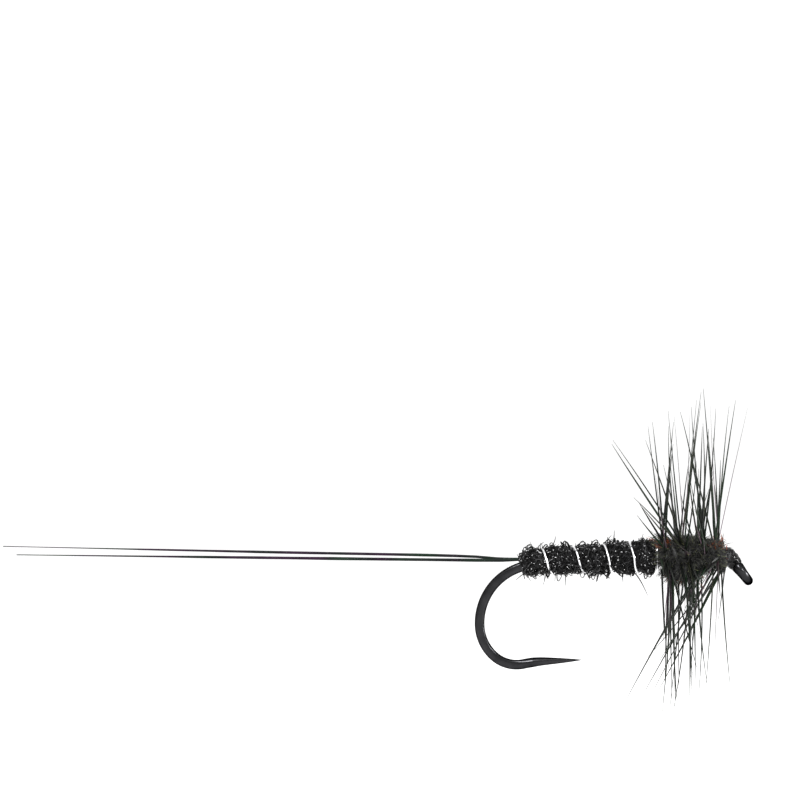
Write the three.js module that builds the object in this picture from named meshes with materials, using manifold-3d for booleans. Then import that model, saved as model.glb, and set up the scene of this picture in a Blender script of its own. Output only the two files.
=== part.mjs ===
// A dry fly: a barbless down-eye hook dressed with two long tail fibres, a dubbed and wire-ribbed
// abdomen, a peacock-herl thorax with a black hackle wound through it, and a varnished thread head.
// Millimetres, +Z up, +X from the tail towards the hook eye. The origin is the centre of the eye.
//
// Every winding follows the hook wire, so places on the fly are given as a station, which is the
// distance along the wire behind the neck bend, with an offset to the side (+Y) and up from the wire.

import * as THREE from 'three';
import { mergeVertices } from 'three/addons/utils/BufferGeometryUtils.js';
import Module from 'manifold-3d';

const wasm = await Module();
wasm.setup();

const DEGREE = Math.PI / 180;
const TURN = 2 * Math.PI;

// ---------------------------------------------------------------- driving dimensions

// Hook
const WIRE_DIAMETER = 0.52;
const SHANK_LENGTH = 10;
const BEND_RADII = [3.12, 2.3, 1.8];
const BEND_TURNS = [90 * DEGREE, 45 * DEGREE, 55 * DEGREE];
const SPEAR_RADIUS = 7;
const POINT_LENGTH = 1.86;
const POINT_TAPER_LENGTH = 2.6;
const POINT_TAPER_POWER = 0.85;
const POINT_TIP_DIAMETER = 0.02;
const FORGED_THICKNESS = 0.4;
const FORGED_RUN_OUT = 0.9;
const EYE_WIRE_DIAMETER = 0.48;
const EYE_INNER_DIAMETER = 0.7;
const EYE_DOWN_ANGLE = 54 * DEGREE;
const NECK_RADIUS = 0.55;
const NECK_STRAIGHT = 0.08;

// Materials tied to the hook
const THREAD_LAYER = 0.03;
const THREAD_WIDTH = 0.09;
const VARNISH_LAYER = 0.03;
const TAIL_BASE_DIAMETER = 0.13;
const TAIL_TIP_DIAMETER = 0.03;
const TAIL_UPPER_LENGTH = 27.7;
const TAIL_LOWER_LENGTH = 26.9;
const TAIL_UPPER_ANGLE = 3.3 * DEGREE;
const TAIL_LOWER_ANGLE = 2.7 * DEGREE;
const TAIL_SPLAY = 1.8 * DEGREE;
const TAIL_PARTING = 0.08;
const TAIL_CURVE = 2.7;
const RIB_DIAMETER = 0.12;
const RIB_BITE = 0.03;
const RIB_PITCH = 1.51;
const RIB_FIRST_TURN = 0.16;
const RIB_CROWDING = 0.045;
const RIB_LEAN = 0.1;
const RIB_BUTT_ANGLE = -45 * DEGREE;
const QUILL_DIAMETER = 0.1;
const BARB_BASE_DIAMETER = 0.1;
const BARB_TIP_DIAMETER = 0.03;
const BARB_LENGTH = 8.4;
const BARB_LENGTH_SPREAD = 0.1;
const BARB_COUNT = 66;
const BARB_LEAN = 7 * DEGREE;
const BARB_LEAN_SPREAD = 15 * DEGREE;
const HERL_WIDTH = 0.4;
const HERL_DEPTH = 0.44;
const HERL_FRONT_DEPTH = 0.24;

// Windings, by station
const HEAD_REACH = 0.18;
const WHIP_FINISH_LENGTH = 0.1;
const HEAD_END = 0.3;
const HEAD_BUILD_UP = 0.18;
const HEAD_PHASES = [0.1, 0.7];
const HEAD_ROUNDING = 0.6;
const THORAX_LENGTH = 3.17;
const THORAX_RISE = 0.12;
const DUBBING_FRONT = 0.36;
const DUBBING_REAR = 0.13;
const DUBBING_END = 0.04;
const DUBBING_RISE = 0.09;
const ABDOMEN_GAP = 0.2;
const BODY_DOWN_BEND = 0.85;
const LASHING_SETBACK = 0.35;
const LASHING_RISE = 0.1;
const TAIL_BUTT_LENGTH = 5;
const RIB_BUTT_LENGTH = 3.6;
const TIE_OFF_LENGTH = 0.45;

// Clearance between pieces that touch, and the shortest edge kept where pieces are joined or cut
const FIT_GAP = 0.02;
const SLIVER = 0.004;

// Facets round the thread windings
const SLEEVE_SIDES = 16;

// ---------------------------------------------------------------- derived sizes

const WIRE_RADIUS = WIRE_DIAMETER / 2;
const EYE_RING_RADIUS = (EYE_INNER_DIAMETER + EYE_WIRE_DIAMETER) / 2;
const NECK_LENGTH = NECK_STRAIGHT + NECK_RADIUS * EYE_DOWN_ANGLE;
const THREAD_BORE = WIRE_RADIUS + FIT_GAP;
const THREAD_RADIUS = THREAD_BORE + THREAD_LAYER;
const TAIL_UP = THREAD_RADIUS + FIT_GAP + TAIL_BASE_DIAMETER / 2;
const TAIL_SIDE = (TAIL_BASE_DIAMETER + FIT_GAP) / 2;
const RIB_BUTT_RADIUS = THREAD_RADIUS + FIT_GAP + RIB_DIAMETER / 2;

// The lashing is round, and set up from the wire so that it goes over the butts on top of the shank.
const TAIL_SPAN = Math.hypot(TAIL_SIDE, TAIL_UP - LASHING_RISE) + TAIL_BASE_DIAMETER / 2;
const RIB_SPAN =
  Math.hypot(
    RIB_BUTT_RADIUS * Math.sin(RIB_BUTT_ANGLE),
    RIB_BUTT_RADIUS * Math.cos(RIB_BUTT_ANGLE) - LASHING_RISE,
  ) +
  RIB_DIAMETER / 2;
const LASHING_BORE = Math.max(TAIL_SPAN, RIB_SPAN, THREAD_RADIUS + LASHING_RISE) + FIT_GAP;
const LASHING_RADIUS = LASHING_BORE + THREAD_LAYER;
const LASHING_SIZE = {
  bore: LASHING_BORE,
  boreRise: LASHING_RISE,
  radius: LASHING_RADIUS,
  rise: LASHING_RISE,
};

const THORAX_START = HEAD_END + FIT_GAP;
const THORAX_END = THORAX_START + THORAX_LENGTH;
const ABDOMEN_START = THORAX_END + ABDOMEN_GAP;
const ABDOMEN_END = SHANK_LENGTH + BODY_DOWN_BEND;
const ABDOMEN_BORE = LASHING_RADIUS + FIT_GAP;
const ABDOMEN_RISE = LASHING_RISE + DUBBING_RISE;
const LASHING_END = ABDOMEN_END - LASHING_SETBACK;
const TIE_OFF_END = ABDOMEN_START - 2 * (FIT_GAP + RIB_DIAMETER);
const TIE_OFF_START = TIE_OFF_END - TIE_OFF_LENGTH;

// The two herls lie side by side, so each herl's pitch is two widths. The quill lies over the valley
// between them.
const HERL_PITCH = 2 * (HERL_WIDTH + FIT_GAP);
const HERL_BORE = LASHING_RADIUS + Math.abs(THORAX_RISE - LASHING_RISE) + FIT_GAP;
const THORAX_ANGLE = ((THORAX_LENGTH - HERL_WIDTH - HERL_PITCH / 2) / HERL_PITCH) * TURN;

// ---------------------------------------------------------------- the wire's centreline

/** A path in the XZ plane made of straight stretches and arcs. Heading 0 runs along -X, 90° along -Z. */
class WirePath {
  constructor(x, z, heading) {
    this.stretches = [];
    this.end = { x, z, heading };
    this.length = 0;
  }

  /** Adds a stretch that turns by `turn` over `length`. */
  add(length, turn = 0) {
    this.stretches.push({ ...this.end, from: this.length, length, turn });
    this.end = this.follow(this.stretches.at(-1), length);
    this.length += length;
    return this;
  }

  /** Adds an arc of this radius. */
  arc(radius, turn) {
    return this.add(radius * Math.abs(turn), turn);
  }

  follow({ x, z, heading, length, turn }, distance) {
    if (turn === 0) {
      return { x: x - distance * Math.cos(heading), z: z - distance * Math.sin(heading), heading };
    }
    const radius = length / turn;
    const after = heading + distance / radius;
    return {
      x: x - radius * (Math.sin(after) - Math.sin(heading)),
      z: z + radius * (Math.cos(after) - Math.cos(heading)),
      heading: after,
    };
  }

  at(distance) {
    const stretch = this.stretches.findLast((s) => s.from <= distance) ?? this.stretches[0];
    return this.follow(stretch, distance - stretch.from);
  }
}

const wire = new WirePath(
  -EYE_RING_RADIUS * Math.cos(EYE_DOWN_ANGLE),
  EYE_RING_RADIUS * Math.sin(EYE_DOWN_ANGLE),
  -EYE_DOWN_ANGLE,
)
  .add(NECK_STRAIGHT)
  .arc(NECK_RADIUS, EYE_DOWN_ANGLE)
  .add(SHANK_LENGTH);
BEND_RADII.forEach((radius, i) => wire.arc(radius, BEND_TURNS[i]));
wire.arc(SPEAR_RADIUS, Math.PI - wire.end.heading).add(POINT_LENGTH);

/** The point at a distance along the wire, offset to the side (+Y) and up from it. */
function offWire(distance, side, up) {
  const { x, z, heading } = wire.at(distance);
  return new THREE.Vector3(x - up * Math.sin(heading), side, z + up * Math.cos(heading));
}

/** The point at a station, offset to the side and up from the wire. */
function onFly(station, side, up) {
  return offWire(NECK_LENGTH + station, side, up);
}

/** The point at a station, this far from a line set `rise` above the wire, at an angle from the top
    that grows down the near side (-Y), as the materials are wound. */
function roundFly(station, rise, radius, angle) {
  return onFly(station, -radius * Math.sin(angle), rise + radius * Math.cos(angle));
}

// ---------------------------------------------------------------- shape tools

/** A geometry with every vertex moved by `place(vertex)`. */
function moved(geometry, place) {
  const position = geometry.attributes.position;
  const vertex = new THREE.Vector3();
  for (let i = 0; i < position.count; i += 1) {
    const to = place(vertex.fromBufferAttribute(position, i));
    position.setXYZ(i, to.x, to.y, to.z);
  }
  return geometry;
}

/** A closed rod of unit radius, moved by `place(along, side, up)`, with along from 0 to 1. */
function rod(sides, steps, place) {
  const unit = new THREE.CylinderGeometry(1, 1, 1, sides, steps);
  return moved(unit, (v) => place(v.y + 0.5, v.x, v.z));
}

/** A rod along a curve whose radius goes from one value to the other. */
function taperedRod(curve, startRadius, endRadius, sides, steps) {
  const frames = curve.computeFrenetFrames(steps);
  return rod(sides, steps, (along, side, up) => {
    const i = Math.round(along * steps);
    const radius = THREE.MathUtils.lerp(startRadius, endRadius, along);
    return curve
      .getPointAt(along)
      .addScaledVector(frames.normals[i], side * radius)
      .addScaledVector(frames.binormals[i], -up * radius);
  });
}

/** A round wire along a curve. A circle's outline has two sides to each of its curve segments. */
function wireAlong(curve, radius, sides, steps) {
  const section = new THREE.Shape().absarc(0, 0, radius, 0, TURN);
  return new THREE.ExtrudeGeometry(section, {
    extrudePath: curve,
    steps,
    curveSegments: sides / 2,
    bevelEnabled: false,
  });
}

/** A sleeve round the wire. Each row has its station, and the rise and radius of its bore and outside. */
function sleeve(sides, rows) {
  const outside = rows.map((row, i) => new THREE.Vector2(2, i));
  const bore = rows.map((row, i) => new THREE.Vector2(1, i)).reverse();
  const outline = [...outside, ...bore, outside[0]];
  const flats = Math.cos(Math.PI / sides);
  return moved(new THREE.LatheGeometry(outline, sides), (v) => {
    const row = rows[Math.round(v.y)];
    const inside = Math.hypot(v.x, v.z) < 1.5;
    const radius = inside ? row.bore / flats : row.radius;
    const rise = (inside ? row.boreRise : row.rise) ?? 0;
    const angle = Math.atan2(v.x, v.z);
    return onFly(row.station, radius * Math.sin(angle), rise + radius * Math.cos(angle));
  });
}

/** Rows for a sleeve between two stations, evenly spaced. */
function rowsBetween(start, end, count, rowAt) {
  return Array.from({ length: count + 1 }, (_, i) => {
    const station = THREE.MathUtils.lerp(start, end, i / count);
    return { station, ...rowAt(station, i / count, i) };
  });
}

/** A plain round sleeve that follows the wire, with more rows where its rear end goes down the bend. */
function bindingOver(start, end, size) {
  if (end <= SHANK_LENGTH) {
    return sleeve(SLEEVE_SIDES, rowsBetween(start, end, 1, () => size));
  }
  return sleeve(SLEEVE_SIDES, [
    ...rowsBetween(start, SHANK_LENGTH, 1, () => size),
    ...rowsBetween(SHANK_LENGTH, end, 5, () => size).slice(1),
  ]);
}

/** A closed geometry as a solid that can be joined and cut. */
function solid(geometry) {
  geometry.deleteAttribute('normal');
  geometry.deleteAttribute('uv');
  const merged = mergeVertices(geometry, 1e-5);
  return new wasm.Manifold(
    new wasm.Mesh({
      numProp: 3,
      vertProperties: merged.attributes.position.array,
      triVerts: Uint32Array.from(merged.index.array),
    }),
  );
}

/** A solid as a geometry, without the slivers that a join or cut leaves. */
function geometryOf(shape) {
  const { vertProperties, triVerts } = shape.simplify(SLIVER).getMesh();
  const geometry = new THREE.BufferGeometry();
  geometry.setAttribute('position', new THREE.BufferAttribute(vertProperties, 3));
  geometry.setIndex(new THREE.BufferAttribute(triVerts, 1));
  return geometry;
}

// ---------------------------------------------------------------- pieces

/** The hook: one wire from the eye to the point, forged flat at the bend, with a ring for an eye. */
function hook() {
  const sides = 12;
  const turnPerSection = 8 * DEGREE;
  const tipAt = wire.length;
  const bendAt = NECK_LENGTH + SHANK_LENGTH;

  // Distances at which the wire gets a section: close together where it curves or tapers.
  const stops = [0, NECK_STRAIGHT];
  const addSections = (length, count) => {
    const start = stops.at(-1);
    for (let i = 1; i <= count; i += 1) {
      stops.push(start + (length * i) / count);
    }
  };
  addSections(NECK_RADIUS * EYE_DOWN_ANGLE, 5);
  addSections(SHANK_LENGTH, 1);
  BEND_RADII.forEach((radius, i) => {
    addSections(radius * BEND_TURNS[i], Math.round(BEND_TURNS[i] / turnPerSection));
  });
  addSections(tipAt - stops.at(-1), 9);

  const flatAt = (distance) => {
    const into = (distance - bendAt) / FORGED_RUN_OUT;
    const outOf = (tipAt - POINT_TAPER_LENGTH - distance) / FORGED_RUN_OUT;
    return THREE.MathUtils.clamp(Math.min(into, outOf), 0, 1);
  };
  const radiusAt = (distance) => {
    const share = Math.min((tipAt - distance) / POINT_TAPER_LENGTH, 1);
    return Math.max(WIRE_RADIUS * share ** POINT_TAPER_POWER, POINT_TIP_DIAMETER / 2);
  };
  const bar = rod(sides, stops.length - 1, (along, side, up) => {
    const distance = stops[Math.round(along * (stops.length - 1))];
    const radius = radiusAt(distance);
    const limit = THREE.MathUtils.lerp(radius, Math.min(radius, FORGED_THICKNESS / 2), flatAt(distance));
    return offWire(distance, THREE.MathUtils.clamp(side * radius, -limit, limit), up * radius);
  });
  const ring = new THREE.TorusGeometry(EYE_RING_RADIUS, EYE_WIRE_DIAMETER / 2, 10, 28);
  ring.rotateY(EYE_DOWN_ANGLE);
  return geometryOf(solid(bar).add(solid(ring)));
}

/** The first layer of tying thread, wound on the bare wire to grip what is tied over it. */
function threadBase() {
  return bindingOver(0, ABDOMEN_END, { bore: THREAD_BORE, radius: THREAD_RADIUS });
}

/** One tail fibre: its butt lies along the top of the shank, and its tip stands out behind. The two part
    by a set distance just behind the body, and then spread slowly. */
function tailFibre(side, length, angle) {
  const route = [];
  const butt = LASHING_END - TAIL_BUTT_LENGTH;
  for (let i = 0; i <= 10; i += 1) {
    route.push(onFly(THREE.MathUtils.lerp(butt, LASHING_END, i / 10), side * TAIL_SIDE, TAIL_UP));
  }
  const exit = route.at(-1);
  for (const reach of [TAIL_CURVE / 2, TAIL_CURVE, length / 2, length]) {
    const easing = Math.min(reach / TAIL_CURVE, 1);
    const spread = Math.tan(TAIL_SPLAY) * reach * easing;
    const climb = (Math.tan(angle) * reach + side * TAIL_PARTING) * easing;
    route.push(new THREE.Vector3(exit.x - reach, exit.y + side * spread, exit.z + climb));
  }
  const curve = new THREE.CatmullRomCurve3(route, false, 'centripetal');
  return taperedRod(curve, TAIL_BASE_DIAMETER / 2, TAIL_TIP_DIAMETER / 2, 6, 30);
}

/** The thread turns that bind the tail and rib butts along the top of the shank. */
function tailLashing() {
  return bindingOver(ABDOMEN_START, LASHING_END, LASHING_SIZE);
}

/** The abdomen's outer radius at a station: a long taper that closes at the tail end. */
function abdomenRadius(station) {
  const share = (station - ABDOMEN_START) / (SHANK_LENGTH - ABDOMEN_START);
  const dubbing = THREE.MathUtils.lerp(DUBBING_FRONT, DUBBING_REAR, Math.min(share, 1));
  const past = THREE.MathUtils.clamp((station - SHANK_LENGTH) / BODY_DOWN_BEND, 0, 1);
  return ABDOMEN_BORE + THREE.MathUtils.lerp(dubbing, DUBBING_END, past ** 2);
}

/** The abdomen's axis above the wire: it comes down towards the wire at the tail end. */
function abdomenRise(station) {
  const past = THREE.MathUtils.clamp((station - SHANK_LENGTH) / BODY_DOWN_BEND, 0, 1);
  return THREE.MathUtils.lerp(ABDOMEN_RISE, LASHING_RISE, past ** 2);
}

/** How far the rib's centre stands from the abdomen's axis, as it bites into the dubbing. */
function ribRadius(station) {
  return abdomenRadius(station) + RIB_DIAMETER / 2 - RIB_BITE;
}

/** The rib wire's route: under the lashing to the tail, back out, in open turns to the thorax, and
    down under the tie-off. */
function ribRoute() {
  const points = [];
  const buttAt = (station) => roundFly(station, 0, RIB_BUTT_RADIUS, RIB_BUTT_ANGLE);
  for (let i = 0; i <= 4; i += 1) {
    points.push(buttAt(LASHING_END - RIB_BUTT_LENGTH * (1 - i / 4)));
  }

  // Round the end of the dubbing, and on to its outside.
  const overEnd = ABDOMEN_END + RIB_DIAMETER / 2 + FIT_GAP;
  const endRadius = abdomenRadius(ABDOMEN_END);
  points.push(buttAt(ABDOMEN_END - RIB_DIAMETER / 2));
  points.push(roundFly(overEnd + RIB_DIAMETER, LASHING_RISE, endRadius - DUBBING_END, RIB_BUTT_ANGLE));
  points.push(roundFly(overEnd, LASHING_RISE, endRadius + RIB_DIAMETER, RIB_BUTT_ANGLE));

  // Whole open turns, each leaning so that it crosses the near side in less than half its pitch. Their
  // mean pitch is the nearest to the wanted one that ends them just behind the front of the dubbing,
  // and they are wider apart over the rear half than over the front half.
  const perTurn = 12;
  const firstTop = SHANK_LENGTH - RIB_FIRST_TURN;
  const openLength = firstTop - ABDOMEN_START - RIB_DIAMETER;
  const turns = Math.round(openLength / RIB_PITCH);
  const last = turns * perTurn - 1;
  for (let i = -2; i <= last; i += 1) {
    const angle = (i * TURN) / perTurn;
    const share = angle / (turns * TURN);
    const advance = openLength * (share + RIB_CROWDING * Math.sin(Math.PI * share) ** 2);
    const station = firstTop - advance - RIB_LEAN * Math.cos(angle);
    const lift = (RIB_BITE + 2 * FIT_GAP) * THREE.MathUtils.clamp((i - last + 3) / 2, 0, 1);
    points.push(roundFly(station, abdomenRise(station), ribRadius(station) + lift, angle));
  }

  // Over the front edge of the dubbing and down its face, round to the butts' side of the shank, and
  // under the tie-off.
  const edgeRadius = abdomenRadius(ABDOMEN_START) + RIB_DIAMETER / 2 + 2 * FIT_GAP;
  const faceStation = ABDOMEN_START - 1.5 * FIT_GAP - RIB_DIAMETER / 2;
  const wayRound = TURN + RIB_BUTT_ANGLE;
  const down = Math.round((wayRound / TURN) * perTurn);
  points.push(roundFly(ABDOMEN_START, ABDOMEN_RISE, edgeRadius, 0));
  for (let i = 1; i <= down; i += 1) {
    const share = i / down;
    const radius = THREE.MathUtils.lerp(edgeRadius - RIB_DIAMETER / 2, RIB_BUTT_RADIUS, share);
    points.push(roundFly(faceStation, ABDOMEN_RISE * (1 - share), radius, wayRound * share));
  }
  points.push(buttAt(faceStation - RIB_DIAMETER));
  points.push(buttAt(TIE_OFF_START));
  return points;
}

/** A solid of this radius along the rib's route. */
function alongRib(radius) {
  const curve = new THREE.CatmullRomCurve3(ribRoute(), false, 'centripetal');
  return wireAlong(curve, radius, 6, Math.round(curve.getLength() / (3 * RIB_DIAMETER)));
}

/** The rib: one fine silver wire. */
function ribWire() {
  return alongRib(RIB_DIAMETER / 2);
}

/** The dubbed abdomen: fur spun on the thread and wound over the lashing, with the rib's groove in it. */
function abdomenDubbing() {
  const size = (station) => ({
    bore: ABDOMEN_BORE,
    boreRise: LASHING_RISE,
    radius: abdomenRadius(station),
    rise: abdomenRise(station),
  });
  const rows = [
    ...rowsBetween(ABDOMEN_START, SHANK_LENGTH, 2, size),
    ...rowsBetween(SHANK_LENGTH, ABDOMEN_END, 4, size).slice(1),
  ];
  const groove = alongRib(RIB_DIAMETER / 2 + FIT_GAP);
  return geometryOf(solid(sleeve(20, rows)).subtract(solid(groove)));
}

/** The thread turns that hold the end of the rib, in front of the dubbing. */
function ribTieOff() {
  return bindingOver(TIE_OFF_START, TIE_OFF_END, LASHING_SIZE);
}

/** The thread turns that hold the butts of the herls and the hackle, under the thorax. */
function thoraxTieIn() {
  const size = { bore: THREAD_RADIUS + FIT_GAP, radius: LASHING_RADIUS, rise: LASHING_RISE };
  return bindingOver(THORAX_START, TIE_OFF_START - FIT_GAP, size);
}

/** The point on the thorax windings at an angle from where they start at the rear. */
function onThorax(angle, radius, shift) {
  const station = THORAX_END - HERL_WIDTH / 2 - shift - (HERL_PITCH * angle) / TURN;
  return roundFly(station, THORAX_RISE, radius, angle);
}

/** The herl's depth at an angle along its winding: it thins over the front half of the thorax. */
function herlDepth(angle) {
  const frontHalf = THREE.MathUtils.smoothstep(angle / THORAX_ANGLE, 0.5, 1);
  return THREE.MathUtils.lerp(HERL_DEPTH, HERL_FRONT_DEPTH, frontHalf);
}

/** One peacock herl, wound forwards in open turns that leave room for the other herl. */
function herlStrand(shift) {
  const steps = Math.round((THORAX_ANGLE / TURN) * 16);
  return rod(8, steps, (along, side, up) => {
    const angle = along * THORAX_ANGLE;
    const radius = HERL_BORE + (herlDepth(angle) * (1 + up)) / 2;
    return onThorax(angle, radius, shift - (side * HERL_WIDTH) / 2);
  });
}

/** How far the hackle's quill lies from the thorax's axis, on top of the thicker herl beside it. */
function quillRadius(angle) {
  return HERL_BORE + herlDepth(angle - Math.PI) + FIT_GAP;
}

/** The hackle: one cock feather, its quill wound in the valley between the herls, barbs standing out. */
function hackleFeather() {
  const quillShift = HERL_PITCH / 4;
  const angleAt = (share) => share * (THORAX_ANGLE + Math.PI / 2);
  const steps = Math.round((angleAt(1) / TURN) * 20);
  const route = [];
  for (let i = 0; i <= steps; i += 1) {
    route.push(onThorax(angleAt(i / steps), quillRadius(angleAt(i / steps)), quillShift));
  }
  const quill = new THREE.CatmullRomCurve3(route, false, 'centripetal');
  let feather = solid(wireAlong(quill, QUILL_DIAMETER / 2, 6, steps));
  for (let i = 0; i < BARB_COUNT; i += 1) {
    feather = feather.add(solid(barb(angleAt((i + 0.5) / BARB_COUNT), i, quillShift)));
  }
  return geometryOf(feather);
}

/** One barb, from inside the quill out to its tip. They lean and reach unevenly, as wound barbs do:
    the steps of 2.4 and 1.7 radians never fall into a pattern. */
function barb(angle, number, shift) {
  const lean = BARB_LEAN + BARB_LEAN_SPREAD * Math.sin(number * 2.4);
  const length = BARB_LENGTH * (1 - (BARB_LENGTH_SPREAD * (1 - Math.sin(number * 1.7))) / 2);
  const root = onThorax(angle, quillRadius(angle), shift);
  const outward = onThorax(angle, quillRadius(angle) + 1, shift).sub(root).normalize();
  const direction = outward.multiplyScalar(Math.cos(lean)).add(new THREE.Vector3(-Math.sin(lean), 0, 0));
  const tip = root.clone().addScaledVector(direction, length);
  const line = new THREE.LineCurve3(root, tip);
  return taperedRod(line, BARB_BASE_DIAMETER / 2, BARB_TIP_DIAMETER / 2, 4, 1);
}

/** The head's outer radius at a station: full in the middle, closing towards the eye. Its profile is
    the part of a half wave between the two phases, made rounder by the power. */
function headRadius(station) {
  const share = (station + HEAD_REACH) / (HEAD_END + HEAD_REACH);
  const [frontPhase, rearPhase] = HEAD_PHASES;
  const wave = Math.sin(Math.PI * THREE.MathUtils.lerp(frontPhase, rearPhase, share));
  return LASHING_RADIUS - LASHING_RISE + HEAD_BUILD_UP * wave ** HEAD_ROUNDING;
}

/** The thread head, one ridge to each turn of thread. */
function headWraps() {
  const turns = Math.round((HEAD_END + HEAD_REACH) / THREAD_WIDTH);
  const rows = rowsBetween(-HEAD_REACH, HEAD_END, 2 * turns, (station, share, i) => ({
    bore: THREAD_RADIUS + FIT_GAP,
    radius: headRadius(station) - (i % 2 === 0 ? THREAD_LAYER / 2 : 0),
  }));
  return sleeve(SLEEVE_SIDES, rows);
}

/** The last turns of thread, which hold its own end, next to the eye. */
function whipFinish() {
  const front = -HEAD_REACH - FIT_GAP - WHIP_FINISH_LENGTH;
  const rows = rowsBetween(front, -HEAD_REACH - FIT_GAP, 4, (station, share, i) => ({
    bore: THREAD_BORE,
    radius: THREAD_RADIUS + (i % 2 === 0 ? 0 : THREAD_LAYER / 2),
  }));
  return sleeve(SLEEVE_SIDES, rows);
}

/** The varnish over the head and the whip finish. */
function headVarnish() {
  const front = -HEAD_REACH - 2 * FIT_GAP - WHIP_FINISH_LENGTH;
  const skinAt = (station) =>
    station < -HEAD_REACH ? THREAD_RADIUS + THREAD_LAYER / 2 : headRadius(station);
  const rows = rowsBetween(front, HEAD_END - THREAD_WIDTH, 9, (station) => {
    const highestNearby = Math.max(
      skinAt(station - THREAD_WIDTH / 2),
      skinAt(station),
      skinAt(station + THREAD_WIDTH / 2),
    );
    const bore = highestNearby + FIT_GAP;
    return { bore, radius: bore + VARNISH_LAYER };
  });
  return sleeve(SLEEVE_SIDES, rows);
}

// ---------------------------------------------------------------- finishes and assembly

const FINISH = {
  hook: { color: 0x1c1c1e, roughness: 0.3, metalness: 0.9 },
  thread: { color: 0x0b0b0c, roughness: 0.6, metalness: 0 },
  tail: { color: 0x101014, roughness: 0.35, metalness: 0 },
  rib: { color: 0xd9dadc, roughness: 0.25, metalness: 1 },
  dubbing: { color: 0x141414, roughness: 0.9, metalness: 0 },
  herl: { color: 0x23241a, roughness: 0.6, metalness: 0 },
  hackle: { color: 0x0f100f, roughness: 0.4, metalness: 0 },
  varnish: { color: 0x050506, roughness: 0.1, metalness: 0 },
};

const fly = new THREE.Group();

function addPiece(name, geometry, finish) {
  const mesh = new THREE.Mesh(geometry, new THREE.MeshStandardMaterial(FINISH[finish]));
  mesh.name = name;
  fly.add(mesh);
}

addPiece('hook', hook(), 'hook');
addPiece('thread_base', threadBase(), 'thread');
addPiece('tail_fibre_upper', tailFibre(1, TAIL_UPPER_LENGTH, TAIL_UPPER_ANGLE), 'tail');
addPiece('tail_fibre_lower', tailFibre(-1, TAIL_LOWER_LENGTH, TAIL_LOWER_ANGLE), 'tail');
addPiece('tail_lashing', tailLashing(), 'thread');
addPiece('rib_wire', ribWire(), 'rib');
addPiece('abdomen_dubbing', abdomenDubbing(), 'dubbing');
addPiece('rib_tie_off', ribTieOff(), 'thread');
addPiece('thorax_tie_in', thoraxTieIn(), 'thread');
addPiece('peacock_herl_1', herlStrand(0), 'herl');
addPiece('peacock_herl_2', herlStrand(HERL_PITCH / 2), 'herl');
addPiece('hackle_feather', hackleFeather(), 'hackle');
addPiece('head_wraps', headWraps(), 'thread');
addPiece('whip_finish', whipFinish(), 'thread');
addPiece('head_varnish', headVarnish(), 'varnish');

export default fly;
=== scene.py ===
"""The looks of a dry fly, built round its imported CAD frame.

Sizes are in millimetres and become metres where a mesh is made. Places on the fly are stations, as in
the CAD part: the distance along the hook wire behind its neck bend, with an angle round the fly that
is 0 on top and grows down the near side (-Y), the way every material is wound.
"""

import math

import bpy
import numpy as np
from mathutils import Matrix, Vector


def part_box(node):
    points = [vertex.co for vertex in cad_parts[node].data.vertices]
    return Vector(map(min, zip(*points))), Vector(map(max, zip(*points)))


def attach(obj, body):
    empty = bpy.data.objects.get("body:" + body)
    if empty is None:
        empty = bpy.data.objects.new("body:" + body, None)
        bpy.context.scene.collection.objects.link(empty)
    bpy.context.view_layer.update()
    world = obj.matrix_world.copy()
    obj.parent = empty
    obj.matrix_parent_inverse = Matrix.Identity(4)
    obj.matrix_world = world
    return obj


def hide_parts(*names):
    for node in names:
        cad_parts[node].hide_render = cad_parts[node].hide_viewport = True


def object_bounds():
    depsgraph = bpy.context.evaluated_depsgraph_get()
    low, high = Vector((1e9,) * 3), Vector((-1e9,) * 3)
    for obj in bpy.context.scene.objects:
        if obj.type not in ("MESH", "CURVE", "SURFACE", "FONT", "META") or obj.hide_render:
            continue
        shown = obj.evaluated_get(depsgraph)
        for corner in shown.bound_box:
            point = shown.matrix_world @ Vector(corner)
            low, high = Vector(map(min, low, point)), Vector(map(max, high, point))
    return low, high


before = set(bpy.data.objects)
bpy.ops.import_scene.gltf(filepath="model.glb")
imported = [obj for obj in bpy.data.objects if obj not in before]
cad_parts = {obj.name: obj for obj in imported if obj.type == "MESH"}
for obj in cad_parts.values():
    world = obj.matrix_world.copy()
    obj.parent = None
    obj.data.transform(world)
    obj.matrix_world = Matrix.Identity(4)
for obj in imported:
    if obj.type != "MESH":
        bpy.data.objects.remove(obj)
cad_low, cad_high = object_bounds()

MM = 0.001
DEGREE = math.pi / 180
TURN = 2 * math.pi

# ---------------------------------------------------------------- sizes, as in the CAD part

WIRE_DIAMETER = 0.52
SHANK_LENGTH = 10
BENDS = [(3.12, 90 * DEGREE), (2.3, 45 * DEGREE), (1.8, 55 * DEGREE)]
SPEAR = (7, -10 * DEGREE)
POINT_LENGTH = 1.86
POINT_TAPER_LENGTH = 2.6
FORGED_THICKNESS = 0.4
FORGED_RUN_OUT = 0.9
EYE_WIRE_DIAMETER = 0.48
EYE_RING_RADIUS = 0.59
EYE_DOWN_ANGLE = 54 * DEGREE
NECK_RADIUS = 0.55
NECK_STRAIGHT = 0.08

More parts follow.
